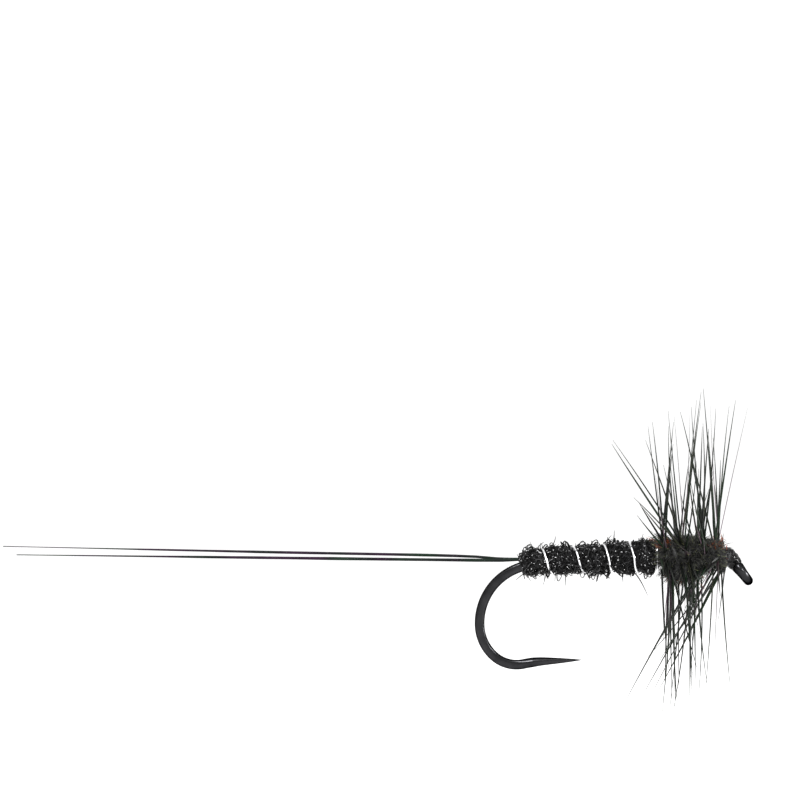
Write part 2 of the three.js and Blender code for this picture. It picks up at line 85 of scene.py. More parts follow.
THREAD_WIDTH = 0.09
LASHING_RISE = 0.1
LASHING_SETBACK = 0.35
DUBBING_FRONT = 0.36
DUBBING_REAR = 0.13
DUBBING_END = 0.04
DUBBING_RISE = 0.09
BODY_DOWN_BEND = 0.85
RIB_DIAMETER = 0.12
RIB_BITE = 0.03
RIB_PITCH = 1.51
RIB_CROWDING = 0.045
RIB_LEAN = 0.1
RIB_FIRST_TURN = 0.16
RIB_BUTT_ANGLE = -45 * DEGREE
RIB_BUTT_RADIUS = 0.39
RIB_BUTT_LENGTH = 3.6
HERL_WIDTH = 0.4
HERL_DEPTH = 0.44
HERL_FRONT_DEPTH = 0.24
HEAD_PHASES = (0.1, 0.7)
HEAD_ROUNDING = 0.6
THORAX_RISE = 0.12
QUILL_DIAMETER = 0.1
BARB_LENGTH = 8.4
FIT_GAP = 0.02

# ---------------------------------------------------------------- sizes of the finer detail

POINT_TAPER_POWER = 0.72
POINT_TIP_DIAMETER = 0.04
FORGED_EDGE_HARDNESS = 8
EYE_PLATING = 0.015
NECK_FILLET = 0.075
EYE_CLOSES_AT = -134 * DEGREE
THREAD_THICKNESS = 0.05
UPPER_HAIR_THICKNESS = 0.15
UPPER_HAIR_SAG = (0.05, 0.1)
LOWER_HAIR_THICKNESS = 0.165
LOWER_HAIR_SAG = (0.06, 0.05)
FUR_TYPICAL_RADIUS = 0.75
LYING_CURLS = 1900
# painted highlights: short pale strands that stand in for glints on the fur
PAINTED_GLINT_SPECKS = 580
STANDING_LOOPS = 460
SHORT_FREE_ENDS = 420
LONG_FREE_ENDS = 60
RIB_STARTS_AT = -60 * DEGREE
RIB_STOPS_SHORT = 14 * DEGREE
HERL_BARBULES = 6400
HERL_HEAD_STUBS = 30
HERL_OVERRUN = 0.8 * TURN
THORAX_CLEAR_OF_HEAD = 0.08
FLUE_BAND_DEPTH = 0.34
HACKLE_BARBS = 124
VARNISH_ON_EYE = 0.3

# ---------------------------------------------------------------- places, from the frame

WIRE_RADIUS = WIRE_DIAMETER / 2
NECK_LENGTH = NECK_STRAIGHT + NECK_RADIUS * EYE_DOWN_ANGLE
NECK_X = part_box("thread_base")[1].x / MM


def stations(node):
    """The stations of a node's front and rear ends, for a node on the straight shank."""
    low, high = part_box(node)
    return NECK_X - high.x / MM, NECK_X - low.x / MM


LASHING_RADIUS = (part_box("tail_lashing")[1].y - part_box("tail_lashing")[0].y) / 2 / MM
ABDOMEN_BORE = LASHING_RADIUS + FIT_GAP
ABDOMEN_RISE = LASHING_RISE + DUBBING_RISE
ABDOMEN_START = stations("abdomen_dubbing")[0]
ABDOMEN_END = SHANK_LENGTH + BODY_DOWN_BEND
LASHING_END = ABDOMEN_END - LASHING_SETBACK
THORAX_START = stations("peacock_herl_2")[0]
THORAX_END = stations("peacock_herl_1")[1]
HEAD_FRONT, HEAD_REAR = stations("head_wraps")
HEAD_RADIUS = (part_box("head_wraps")[1].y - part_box("head_wraps")[0].y) / 2 / MM
HERL_PITCH = 2 * (HERL_WIDTH + FIT_GAP)
HERL_BORE = LASHING_RADIUS + THORAX_RISE - LASHING_RISE + FIT_GAP
THORAX_ANGLE = (THORAX_END - THORAX_START - HERL_WIDTH - HERL_PITCH / 2) / HERL_PITCH * TURN


# ---------------------------------------------------------------- the hook wire's centreline


def wire_centreline():
    """Distance, x, z and heading along the wire, closely spaced. Heading 0 runs along -X, 90° along -Z."""
    stretches = [
        (NECK_STRAIGHT, 0),
        (NECK_RADIUS * EYE_DOWN_ANGLE, 1 / NECK_RADIUS),
        (SHANK_LENGTH, 0),
        *[(radius * turn, 1 / radius) for radius, turn in BENDS],
        (SPEAR[0] * abs(SPEAR[1]), -1 / SPEAR[0]),
        (POINT_LENGTH, 0),
    ]
    spacing = 0.004
    step, curvature = [], []
    for length, bend in stretches:
        count = max(round(length / spacing), 1)
        step += [length / count] * count
        curvature += [bend] * count
    step = np.array(step)
    heading = -EYE_DOWN_ANGLE + np.concatenate([[0], np.cumsum(step * curvature)])
    middle = (heading[1:] + heading[:-1]) / 2
    start_x = -EYE_RING_RADIUS * math.cos(EYE_DOWN_ANGLE)
    start_z = EYE_RING_RADIUS * math.sin(EYE_DOWN_ANGLE)
    x = start_x - np.concatenate([[0], np.cumsum(step * np.cos(middle))])
    z = start_z - np.concatenate([[0], np.cumsum(step * np.sin(middle))])
    return np.concatenate([[0], np.cumsum(step)]), x, z, heading


WIRE_AT, WIRE_X, WIRE_Z, WIRE_HEADING = wire_centreline()
POINT_AT = WIRE_AT[-1]
BEND_AT = NECK_LENGTH + SHANK_LENGTH


def off_wire(distance, side, up):
    """Points at distances along the wire, offset to the side (+Y) and up from it."""
    distance, side, up = np.broadcast_arrays(distance, side, up)
    x = np.interp(distance, WIRE_AT, WIRE_X)
    z = np.interp(distance, WIRE_AT, WIRE_Z)
    heading = np.interp(distance, WIRE_AT, WIRE_HEADING)
    return np.stack([x - up * np.sin(heading), side, z + up * np.cos(heading)], -1)


def round_fly(station, rise, radius, angle):
    """Points at stations, this far from a line set `rise` above the wire, at an angle from the top."""
    return off_wire(NECK_LENGTH + station, -radius * np.sin(angle), rise + radius * np.cos(angle))


# ---------------------------------------------------------------- mesh tools


def smoothstep(low, high, value):
    share = np.clip((value - low) / (high - low), 0, 1)
    return share * share * (3 - 2 * share)


def lumps(points, size, seed):
    """Smooth noise of about -1 to 1 at each point, with lumps of about this size and finer ones."""
    rng = np.random.default_rng(seed)
    octaves = 3
    wave_count = 14
    loudness = 2.2
    total = 0
    for octave in range(octaves):
        waves = rng.normal(size=(wave_count, 3))
        waves *= TURN * 2**octave / size / np.linalg.norm(waves, axis=1, keepdims=True)
        phases = rng.uniform(0, TURN, wave_count)
        total = total + np.sin(points @ waves.T + phases).mean(-1) * loudness / 2**octave
    return total


def normalised(vectors):
    shortest = 1e-9
    return vectors / np.maximum(np.linalg.norm(vectors, axis=-1, keepdims=True), shortest)


class Build:
    """Collects closed surfaces, each vertex with a tint of its own strand and its share along it."""

    def __init__(self):
        self.vertices = []
        self.faces = []
        self.tint = []
        self.along = []
        self.count = 0

    def add(self, vertices, faces, tint, along):
        vertices = vertices.reshape(-1, 3)
        self.vertices.append(vertices)
        self.faces += [[int(i) + self.count for i in face] for face in faces]
        self.tint.append(np.broadcast_to(tint, len(vertices)))
        self.along.append(np.broadcast_to(along, len(vertices)))
        self.count += len(vertices)

    def strands(self, routes, radii, sides, tints):
        """Closed tubes. routes is (strands, points, 3), radii (strands, points), tints (strands)."""
        strands, points, _ = routes.shape
        tangent = normalised(np.gradient(routes, axis=1))
        nearly_upright = 0.8
        upright = np.abs(tangent[:, :1, 2:]) > nearly_upright
        helper = np.where(upright, [1.0, 0, 0], [0, 0, 1.0])[:, 0]
        normals = [normalised(np.cross(tangent[:, 0], helper))]
        for i in range(1, points):
            along = tangent[:, i]
            turned = normals[-1] - (normals[-1] * along).sum(-1, keepdims=True) * along
            normals.append(normalised(turned))
        normal = np.stack(normals, 1)[:, :, None]
        binormal = np.cross(tangent[:, :, None], normal)
        angle = (np.arange(sides) * TURN / sides)[:, None]
        ring = np.cos(angle) * normal + np.sin(angle) * binormal
        vertices = routes[:, :, None] + radii[:, :, None, None] * ring
        index = np.arange(strands * points * sides).reshape(strands, points, sides)
        following = np.roll(index, -1, axis=2)
        quads = [index[:, :-1], following[:, :-1], following[:, 1:], index[:, 1:]]
        faces = np.stack(quads, -1).reshape(-1, 4).tolist()
        faces += index[:, 0, ::-1].tolist() + index[:, -1].tolist()
        share = np.linspace(0, 1, points)[None, :, None]
        self.add(
            vertices,
            faces,
            np.broadcast_to(tints[:, None, None], index.shape).ravel(),
            np.broadcast_to(share, index.shape).ravel(),
        )

    def loft(self, rows, tint=0.5, ends=True):
        """A surface through closed rows of points, (rows, around, 3), capped unless it closes on itself."""
        count, around, _ = rows.shape
        index = np.arange(count * around).reshape(count, around)
        if not ends:
            index = np.concatenate([index, index[:1]])
        following = np.roll(index, -1, axis=1)
        quads = [index[:-1], following[:-1], following[1:], index[1:]]
        faces = np.stack(quads, -1).reshape(-1, 4).tolist()
        if ends:
            faces += [index[0, ::-1].tolist(), index[-1].tolist()]
        share = np.repeat(np.linspace(0, 1, count), around)
        self.add(rows, faces, tint, share)

    def piece(self, name, material, slot, *nodes):
        """The object, riding on the fly and standing for the CAD nodes it replaces."""
        mesh = bpy.data.meshes.new(name)
        vertices = np.concatenate(self.vertices) * MM
        mesh.from_pydata(vertices.tolist(), [], self.faces)
        for label, values in (("tint", self.tint), ("along", self.along)):
            attribute = mesh.attributes.new(label, "FLOAT", "POINT")
            attribute.data.foreach_set("value", np.concatenate(values).astype(np.float32))
        mesh.shade_smooth()
        mesh.materials.append(material)
        piece = bpy.data.objects.new(name, mesh)
        bpy.context.scene.collection.objects.link(piece)
        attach(piece, "root")
        if nodes:
            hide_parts(*nodes)
        return piece


# ---------------------------------------------------------------- material tools


class Nodes:
    """A material's node tree, with short ways to add and link nodes."""

    def __init__(self, name):
        self.material = bpy.data.materials.new(name)
        self.material.use_nodes = True
        self.tree = self.material.node_tree
        self.shader = self.tree.nodes["Principled BSDF"]
        self.coordinates = self.add("ShaderNodeTexCoord").outputs["Object"]

    def add(self, kind, inputs=(), **settings):
        node = self.tree.nodes.new(kind)
        for key, value in settings.items():
            setattr(node, key, value)
        for key, value in dict(inputs).items():
            if isinstance(value, bpy.types.NodeSocket):
                self.tree.links.new(value, node.inputs[key])
            else:
                node.inputs[key].default_value = value
        return node

    def set(self, **values):
        """Sets the shader's own sockets. Each name is a socket's, with _ for a space."""
        for key, value in values.items():
            socket = self.shader.inputs[key.replace("_", " ")]
            if isinstance(value, bpy.types.NodeSocket):
                self.tree.links.new(value, socket)
            else:
                socket.default_value = value

    def noise(self, size, detail=3.0, stretch=(1, 1, 1)):
        """Noise with grains of about this size in millimetres, drawn out along an axis by stretch."""
        scale = tuple(1 / (size * MM * s) for s in stretch)
        mapping = self.add("ShaderNodeMapping", {"Vector": self.coordinates, "Scale": scale})
        inputs = {"Vector": mapping.outputs[0], "Scale": 1.0, "Detail": detail}
        return self.add("ShaderNodeTexNoise", inputs).outputs["Fac"]

    def attribute(self, name):
        return self.add("ShaderNodeAttribute", attribute_name=name).outputs["Fac"]

    def ramp(self, value, stops):
        """A colour from a value by stops of (place, colour)."""
        node = self.add("ShaderNodeValToRGB", {"Fac": value})
        elements = node.color_ramp.elements
        while len(elements) < len(stops):
            elements.new(0.5)
        for element, (place, colour) in zip(elements, stops):
            element.position = place
            element.color = (*colour, 1)
        return node.outputs["Color"]

    def span(self, value, low, high):
        """A value of 0 to 1 taken to low to high."""
        inputs = {"Value": value, "To Min": low, "To Max": high}
        return self.add("ShaderNodeMapRange", inputs).outputs["Result"]

    def mix(self, factor, a, b, kind="MIX"):
        """Colour a going over to colour b, or multiplied by it. The keys are the node's own numbers for
        its factor, its two colours and its colour result."""
        factor_key, a_key, b_key, result_key = 0, 6, 7, 2
        node = self.add("ShaderNodeMix", data_type="RGBA", blend_type=kind)
        for key, value in ((factor_key, factor), (a_key, a), (b_key, b)):
            if isinstance(value, bpy.types.NodeSocket):
                self.tree.links.new(value, node.inputs[key])
            else:
                node.inputs[key].default_value = value if key == factor_key else (*value, 1)
        return node.outputs[result_key]

    def bump(self, height, depth):
        """Bump of this depth in millimetres."""
        inputs = {"Height": height, "Distance": depth * MM, "Strength": 1.0}
        self.set(Normal=self.add("ShaderNodeBump", inputs).outputs["Normal"])


# ---------------------------------------------------------------- materials


def black_nickel():
    """Black nickel plate on drawn wire: dark, half glossy, with fine lengthwise marks and rubbed spots."""
    n = Nodes("black_nickel")
    drawn = n.noise(0.05, 4.0, stretch=(9, 1, 9))
    patches = n.noise(0.9, 4.0)
    n.set(Base_Color=n.ramp(patches, [(0.3, (0.013, 0.013, 0.014)), (0.7, (0.027, 0.027, 0.0285))]))
    n.set(Metallic=1.0, Roughness=n.span(patches, 0.16, 0.3), Specular_Tint=(0.01, 0.01, 0.01, 1))
    n.bump(drawn, 0.004)
    return n.material


def waxed_thread():
    """Black tying thread: fine flat filaments with a little wax on them."""
    n = Nodes("waxed_thread")
    filaments = n.noise(0.012, 3.0, stretch=(1, 6, 6))
    n.set(Base_Color=n.ramp(filaments, [(0.35, (0.006, 0.006, 0.007)), (0.7, (0.02, 0.02, 0.021))]))
    n.set(Roughness=n.span(n.noise(0.2), 0.35, 0.6), Specular_IOR_Level=0.2)
    n.bump(filaments, 0.008)
    return n.material


def tail_hair():
    """A smooth black tail fibre, with a violet and green cast that drifts along it."""
    n = Nodes("tail_hair")
    drift = n.noise(2.6, 2.0)
    cast = [(0.35, (0.004, 0.012, 0.006)), (0.5, (0.004, 0.004, 0.005)), (0.65, (0.014, 0.004, 0.014))]
    grain = n.noise(0.05, 4.0, stretch=(16, 1, 1))
    n.set(Base_Color=n.ramp(drift, cast), Roughness=n.span(grain, 0.25, 0.5), Specular_IOR_Level=0.06)
    n.bump(grain, 0.006)
    return n.material


def silver_wire():
    """Bright silver wire, slightly dulled in spots."""
    n = Nodes("silver_wire")
    dull = n.noise(0.35, 4.0)
    n.set(Base_Color=n.ramp(dull, [(0.35, (0.62, 0.62, 0.63)), (0.6, (0.93, 0.93, 0.94))]))
    n.set(Metallic=1.0, Roughness=n.span(dull, 0.42, 0.2))
    n.bump(n.noise(0.04), 0.003)
    return n.material


def fibre(name, tints, roughness, shine, tip=None):
    """Fine fibres. Each strand takes its colour from the tints, and fades to the tip colour if one is
    given."""
    n = Nodes(name)
    colour = n.ramp(n.attribute("tint"), tints)
    if tip:
        colour = n.mix(n.attribute("along"), colour, tip)
    mottle = n.noise(0.12, 3.0)
    shade = n.ramp(mottle, [(0.3, (0.55, 0.55, 0.55)), (0.7, (1.0, 1.0, 1.0))])
    n.set(Base_Color=n.mix(1.0, colour, shade, "MULTIPLY"))
    n.set(Roughness=n.span(mottle, roughness - 0.12, roughness + 0.15), Specular_IOR_Level=shine)
    n.bump(n.noise(0.02), 0.004)
    return n.material


def dubbing_fur():
    """The loose fur fibres: black, with a few pale ones painted as glints, a painted highlight."""
    tints = [
        (0.0, (0.001, 0.001, 0.001)),
        (0.5, (0.004, 0.004, 0.0042)),
        (0.82, (0.045, 0.045, 0.047)),
        # painted highlight colour: taken by the glint specks, and the palest curls, up to 0.86, blend part
        # way towards it
        (0.9, (0.7, 0.7, 0.71)),
    ]
    return fibre("dubbing_fur", tints, roughness=0.42, shine=0.12)


def dubbing_felt():
    """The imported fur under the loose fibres."""
    n = Nodes("dubbing_felt")
    strands = n.noise(0.05, 6.0)
    n.set(Base_Color=n.ramp(strands, [(0.35, (0.001, 0.001, 0.001)), (0.7, (0.006, 0.006, 0.0062))]))
    n.set(Roughness=0.85, Specular_IOR_Level=0.03)
    n.bump(strands, 0.04)
    return n.material


def peacock_flue():
    """Peacock flue: dark bronze, with a few olive and rust-red barbules, and some bright yellow-olive ones
    painted as glints.
    """
    tints = [
        (0.0, (0.008, 0.008, 0.008)),
        (0.4, (0.024, 0.024, 0.023)),
        (0.72, (0.052, 0.052, 0.049)),
        (0.86, (0.08, 0.084, 0.055)),
        # painted highlight: bright yellow-olive barbules that stand in for the herl's glints
        (0.9, (0.28, 0.29, 0.14)),
        (0.95, (0.22, 0.035, 0.014)),
        (1.0, (0.3, 0.08, 0.025)),
    ]
    return fibre("peacock_flue", tints, roughness=0.42, shine=0.22)


def cock_hackle():
    """Hackle barbs: black, some tinted green or brown as a painted sheen, and a few thin pale violet ones.
    """
    tints = [
        (0.0, (0.003, 0.003, 0.003)),
        (0.4, (0.005, 0.006, 0.005)),
        # painted sheen: the green and brown tints
        (0.65, (0.006, 0.018, 0.007)),
        (0.8, (0.018, 0.016, 0.009)),
        (0.9, (0.022, 0.006, 0.018)),
        (1.0, (0.16, 0.11, 0.14)),
    ]
    # the lighter, greener tip colour is painted light: light showing through the thin tips
    return fibre("cock_hackle", tints, roughness=0.32, shine=0.08, tip=(0.012, 0.015, 0.011))


def head_varnish():
    """Clear varnish over black thread: nearly black and wet-looking, with a few soft specks."""
    n = Nodes("head_varnish")
    specks = n.noise(0.07, 3.0)
    n.set(Base_Color=n.ramp(specks, [(0.4, (0.0015, 0.0015, 0.0016)), (0.75, (0.008, 0.008, 0.0084))]))
    n.set(Roughness=n.span(specks, 0.06, 0.18), Specular_IOR_Level=0.12)
    n.bump(n.noise(0.16, 2.0), 0.03)
    return n.material


def pale_floor():
    """A white floor, with very faint wide patches."""
    n = Nodes("pale_floor")
    patches = n.noise(60, 2.0)
    n.set(Base_Color=n.ramp(patches, [(0.3, (0.965, 0.965, 0.965)), (0.7, (0.985, 0.985, 0.985))]))
    n.set(Roughness=0.9)
    return n.material


# ---------------------------------------------------------------- pieces


def hook_bar():
    """The wire from the eye to the needle point: round, then forged flat with rounded edges."""
    distance = np.concatenate(
        [
            np.linspace(0, NECK_LENGTH, 24, endpoint=False),
            np.linspace(NECK_LENGTH, BEND_AT, 40, endpoint=False),
            np.linspace(BEND_AT, POINT_AT - POINT_TAPER_LENGTH, 150, endpoint=False),
            POINT_AT - POINT_TAPER_LENGTH * np.linspace(1, 0, 40) ** 1.5,
        ]
    )
    taper = np.clip((POINT_AT - distance) / POINT_TAPER_LENGTH, 0, 1) ** POINT_TAPER_POWER
    radius = np.maximum(WIRE_RADIUS * taper, POINT_TIP_DIAMETER / 2)
    into = smoothstep(BEND_AT, BEND_AT + FORGED_RUN_OUT, distance)
    flat_end = POINT_AT - POINT_TAPER_LENGTH
    out_of = 1 - smoothstep(flat_end - FORGED_RUN_OUT, flat_end, distance)
    flatness = np.minimum(into, out_of)
    limit = radius + (np.minimum(radius, FORGED_THICKNESS / 2) - radius) * flatness
    angle = np.linspace(0, TURN, 40, endpoint=False)[None]
    side = radius[:, None] * np.cos(angle)
    over = np.abs(side / limit[:, None]) ** FORGED_EDGE_HARDNESS
    pressed = side / (1 + over) ** (1 / FORGED_EDGE_HARDNESS)
    side = side + (pressed - side) * flatness[:, None]
    return off_wire(distance[:, None], -side, radius[:, None] * np.sin(angle))


def hook_eye_ring():
    """The eye: the wire's end, brought round to one side and closed against its own neck."""
    outward = np.array([math.cos(EYE_DOWN_ANGLE), 0, -math.sin(EYE_DOWN_ANGLE)])
    sideways = np.array([0, 1.0, 0])
    turn = np.linspace(180 * DEGREE, EYE_CLOSES_AT, 90)
    ring = EYE_RING_RADIUS * (np.cos(turn)[:, None] * outward + np.sin(turn)[:, None] * sideways)
    radius = EYE_WIRE_DIAMETER / 2 + EYE_PLATING + NECK_FILLET * smoothstep(-0.6, 1, -np.cos(turn))
    last = np.arange(len(turn))[::-1]
    rounded_rings = 4
    radius *= np.sqrt(1 - (1 - np.clip((last + 0.6) / rounded_rings, 0, 1)) ** 2)
    return ring[None], radius[None]


def make_hook(material):
    """The hook: its bar and its eye ring."""
    build = Build()
    build.loft(hook_bar())
    routes, radii = hook_eye_ring()
    build.strands(routes, radii, 32, np.array([0.5]))
    return build.piece("hook_wire", material, "hook_wire", "hook")


def make_tail(node, thickness, sag, material, seed):
    """One tail fibre, along its CAD rod: straight, and slightly uneven down to a hair-fine tip. Where it
    leaves the body and at its tip it sags by the two amounts given."""
    rings = 31
    corners = np.array([vertex.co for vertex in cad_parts[node].data.vertices]) / MM
    corners = corners[np.argsort(-corners[:, 0])]
    centres = np.array([ring.mean(0) for ring in np.array_split(corners, rings)])
    share = np.linspace(0, 1, 260)
    ring_share = np.linspace(0, 1, rings)
    route = np.stack([np.interp(share, ring_share, centres[:, axis]) for axis in range(3)], -1)
    bound_until, free_from = 0.13, 0.19
    free = smoothstep(bound_until, free_from, share)
    route[:, 2] -= free * (sag[0] + (sag[1] - sag[0]) * share)
    uneven = 1 + 0.1 * lumps(route, 6, seed)
    taper = 1 - 0.7 * smoothstep(0.5, 1, share)
    build = Build()
    build.strands(route[None], (thickness / 2 * uneven * taper)[None], 12, np.array([0.5]))
    return build.piece(node.replace("fibre", "hair"), material, "tail_fibre", node)


def abdomen_radius(station):
    """The CAD abdomen's outer radius at stations."""
    share = np.clip((station - ABDOMEN_START) / (SHANK_LENGTH - ABDOMEN_START), 0, 1)
    dubbing = DUBBING_FRONT + (DUBBING_REAR - DUBBING_FRONT) * share
    past = np.clip((station - SHANK_LENGTH) / BODY_DOWN_BEND, 0, 1) ** 2
    return ABDOMEN_BORE + dubbing + (DUBBING_END - dubbing) * past


def abdomen_rise(station):
    """How far the CAD abdomen's axis lies above the wire."""
    past = np.clip((station - SHANK_LENGTH) / BODY_DOWN_BEND, 0, 1) ** 2
    return ABDOMEN_RISE + (LASHING_RISE - ABDOMEN_RISE) * past


RIB_FIRST_TOP = SHANK_LENGTH - RIB_FIRST_TURN
RIB_OPEN_LENGTH = RIB_FIRST_TOP - ABDOMEN_START - RIB_DIAMETER
RIB_TURNS = round(RIB_OPEN_LENGTH / RIB_PITCH)


def rib_station(angle):
    """The rib's station after turning through an angle from its first top."""
    share = angle / (RIB_TURNS * TURN)
    advance = RIB_OPEN_LENGTH * (share + RIB_CROWDING * np.sin(math.pi * share) ** 2)
    return RIB_FIRST_TOP - advance - RIB_LEAN * np.cos(angle)


def rib_distance(station, angle):
    """How far a place on the abdomen is from the nearest turn of the rib, in millimetres."""
    turned = np.mod(angle, TURN)
    far = 9.0
    nearest = np.full(np.shape(station), far)
    for turn in range(-1, RIB_TURNS + 1):
        full = turned + turn * TURN
        there = np.abs(station - rib_station(full))
        nearest = np.where(full > RIB_STARTS_AT, np.minimum(nearest, there), nearest)
    return nearest


def fur_rise(station):
    """The fur's axis above the wire: it comes down to the wire where the body closes at the tail."""
    closing = smoothstep(LASHING_END - 0.1, ABDOMEN_END, station)
    return abdomen_rise(station) * (1 - 0.6 * closing)


def fur_radius(station, angle):
    """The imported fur's radius: swollen between the rib's turns, pinched under them, and uneven. It
    closes round the wire at the tail end."""
    between = smoothstep(0.02, 0.42, rib_distance(station, angle))
    places = round_fly(station, abdomen_rise(station), abdomen_radius(station), angle)
    front = smoothstep(ABDOMEN_START - 0.05, ABDOMEN_START + 0.3, station)
    uneven = 0.055 * lumps(places, 1.0, 11) + 0.03 * lumps(places, 0.35, 12)
    rounded_front = -0.22 * (1 - smoothstep(ABDOMEN_START, ABDOMEN_START + 0.25, station)) ** 2
    pinched, swelling = -0.14, 0.15
    full = abdomen_radius(station) + pinched + swelling * between + uneven * front + rounded_front
    closed = WIRE_RADIUS + 0.08
    closing_run = 0.3
    past = (station - LASHING_END + closing_run) / (ABDOMEN_END - LASHING_END + closing_run)
    return closed + (full - closed) * np.sqrt(1 - np.clip(past, 0, 1) ** 2.4)


def make_abdomen(material):
    """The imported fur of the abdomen, closed round the lashing."""
    station = np.linspace(ABDOMEN_START, ABDOMEN_END, 280)[:, None]
    angle = np.linspace(0, TURN, 132, endpoint=False)[None]
    station, angle = np.broadcast_arrays(station, angle)
    radius = fur_radius(station, angle)
    outside = round_fly(station, fur_rise(station), radius, angle)
    wall = 0.04
    bore_radius = np.minimum(radius.min(1, keepdims=True) - wall, ABDOMEN_BORE)
    every = 40
    bore = round_fly(station, fur_rise(station), bore_radius, angle)[::-every]
    build = Build()
    build.loft(np.concatenate([outside, bore])[::-1], ends=False)
    return build.piece("abdomen_fur", material, "dubbing", "abdomen_dubbing")


def on_fur(station, angle, height):
    """Points this far above the fur, with stations kept on the abdomen."""
    station = np.clip(station, ABDOMEN_START + 0.03, ABDOMEN_END - 0.02)
    return round_fly(station, fur_rise(station), fur_radius(station, angle) + height, angle)


def lying_curls(build, rng, count):
    """Fibres that lie on the fur, mostly wound round it, curling and dipping in and out."""
    points = 10
    share = np.linspace(0, 1, points)[None]
    length = rng.uniform(0.5, 1.7, (count, 1))
    heading = rng.normal(0, 0.75, (count, 1)) + rng.normal(0, 1.5, (count, 1)) * share
    waving = share * rng.uniform(4, 11, (count, 1)) + rng.uniform(0, TURN, (count, 1))
    heading = heading + 0.7 * np.sin(waving)
    step = length / (points - 1)
    around = np.cumsum(np.cos(heading), 1) * step
    forward = np.cumsum(np.sin(heading), 1) * step
    station = rng.uniform(ABDOMEN_START, ABDOMEN_END, (count, 1)) + forward
    angle = rng.uniform(0, TURN, (count, 1)) + around / FUR_TYPICAL_RADIUS
    phase = rng.uniform(0, TURN, (count, 1))
    height = rng.uniform(-0.015, 0.04, (count, 1))
    height = height + 0.035 * np.sin(share * rng.uniform(3, 9, (count, 1)) + phase)
    radius = rng.uniform(0.011, 0.02, (count, 1)) * (1 - 0.5 * share)
    build.strands(on_fur(station, angle, height), radius, 3, rng.random(count) * 0.86)


def painted_glint_specks(build, rng, count):
    """Short pale strands at the fur's surface: painted highlights, standing in for glints where a fibre
    catches the light.
    """
    share = np.linspace(0, 1, 3)[None]
    station = rng.uniform(ABDOMEN_START, ABDOMEN_END, (count, 1)) + rng.normal(0, 0.04, (count, 1)) * share
    angle = rng.uniform(0, TURN, (count, 1)) + rng.normal(0, 0.05, (count, 1)) * share
    outermost = 0.045
    height = np.full((count, 3), outermost)
    radius = rng.uniform(0.01, 0.025, (count, 1)) * np.ones((1, 3))
    # the pale tints, 0.9 to 1, give these strands the painted highlight colour
    build.strands(on_fur(station, angle, height), radius, 4, rng.uniform(0.9, 1, count))


def standing_loops(build, rng, count):
    """Loops of curled fibre that stand proud of the fur, with both ends in it."""
    share = np.linspace(0, 1, 12)[None]
    heading = rng.uniform(0, TURN, (count, 1))
    width = rng.uniform(0.08, 0.24, (count, 1))
    tall = 0.05 + 0.29 * rng.random((count, 1)) ** 1.8
    sweep = rng.uniform(0.9, 1.35, (count, 1)) * math.pi
    turn = share * sweep - (sweep - math.pi) / 2
    slant = rng.normal(0, 0.12, (count, 1)) * np.sin(turn)
    reach = width * np.cos(turn)
    station = rng.uniform(ABDOMEN_START, ABDOMEN_END, (count, 1)) + reach * np.sin(heading) + slant
    angle = rng.uniform(0, TURN, (count, 1)) + (reach * np.cos(heading) + slant) / 0.8
    height = tall * (1 + 0.35 * np.maximum(0, -np.cos(angle))) * np.sin(turn) - 0.02
    radius = rng.uniform(0.022, 0.04, (count, 1)) * (1 - 0.3 * share)
    build.strands(on_fur(station, angle, height), radius, 4, rng.random(count) * 0.7)


def free_ends(build, rng, count, shortest, longest, thickness):
    """Curved fibres that stick out of the fur at all angles."""
    steps = 8
    share = np.linspace(0, 1, steps + 1)[None]
    length = rng.uniform(shortest, longest, (count, 1))
    heading = rng.uniform(0, TURN, (count, 1))
    tilt = rng.uniform(0.1, 1.2, (count, 1)) + rng.normal(0, 1.1, (count, 1)) * share
    reach = np.cumsum(np.sin(tilt), 1) / steps * length
    height = np.cumsum(np.cos(tilt), 1) / steps * length - 0.03
    station = rng.uniform(ABDOMEN_START, ABDOMEN_END, (count, 1)) + reach * np.sin(heading)
    angle = rng.uniform(0, TURN, (count, 1)) + reach * np.cos(heading) / 0.9
    radius = thickness * rng.uniform(0.7, 1.1, (count, 1)) * (1 - 0.65 * share)
    build.strands(on_fur(station, angle, height), radius, 4, rng.random(count) * 0.85)


def hanging_hairs(build):
    """The few long hairs that hang from the fur, each with its station, its reach towards the tail and
    down, and its thickness."""
    points = 12
    nearly_below = 176 * DEGREE
    share = np.linspace(0, 1, points)
    for station, back, down, thickness in (
        (10.55, 0.65, 0.4, 0.03),
        (9.6, 0.02, 0.45, 0.02),
        (8.45, 0.05, 0.75, 0.032),
        (7.1, 0.12, 0.4, 0.03),
        (5.5, -0.05, 0.55, 0.034),
        (4.95, -0.78, 1.3, 0.036),
    ):
        start = on_fur(station, nearly_below, -0.05)
        x = start[0] - back * share**0.8
        z = start[2] - down * share**1.25
        route = np.stack([x, np.full(points, start[1]) - 0.1 * share, z], -1)
        build.strands(route[None], (thickness * (1 - 0.7 * share**2))[None], 6, np.array([0.1]))


def make_dubbing_fibres(material):
    """All the loose fur of the abdomen."""
    rng = np.random.default_rng(21)
    build = Build()
    lying_curls(build, rng, LYING_CURLS)
    painted_glint_specks(build, rng, PAINTED_GLINT_SPECKS)
    standing_loops(build, rng, STANDING_LOOPS)
    free_ends(build, rng, SHORT_FREE_ENDS, shortest=0.1, longest=0.34, thickness=0.028)
    free_ends(build, rng, LONG_FREE_ENDS, shortest=0.35, longest=0.75, thickness=0.036)
    hanging_hairs(build)
    return build.piece("dubbing_fibres", material, "dubbing")


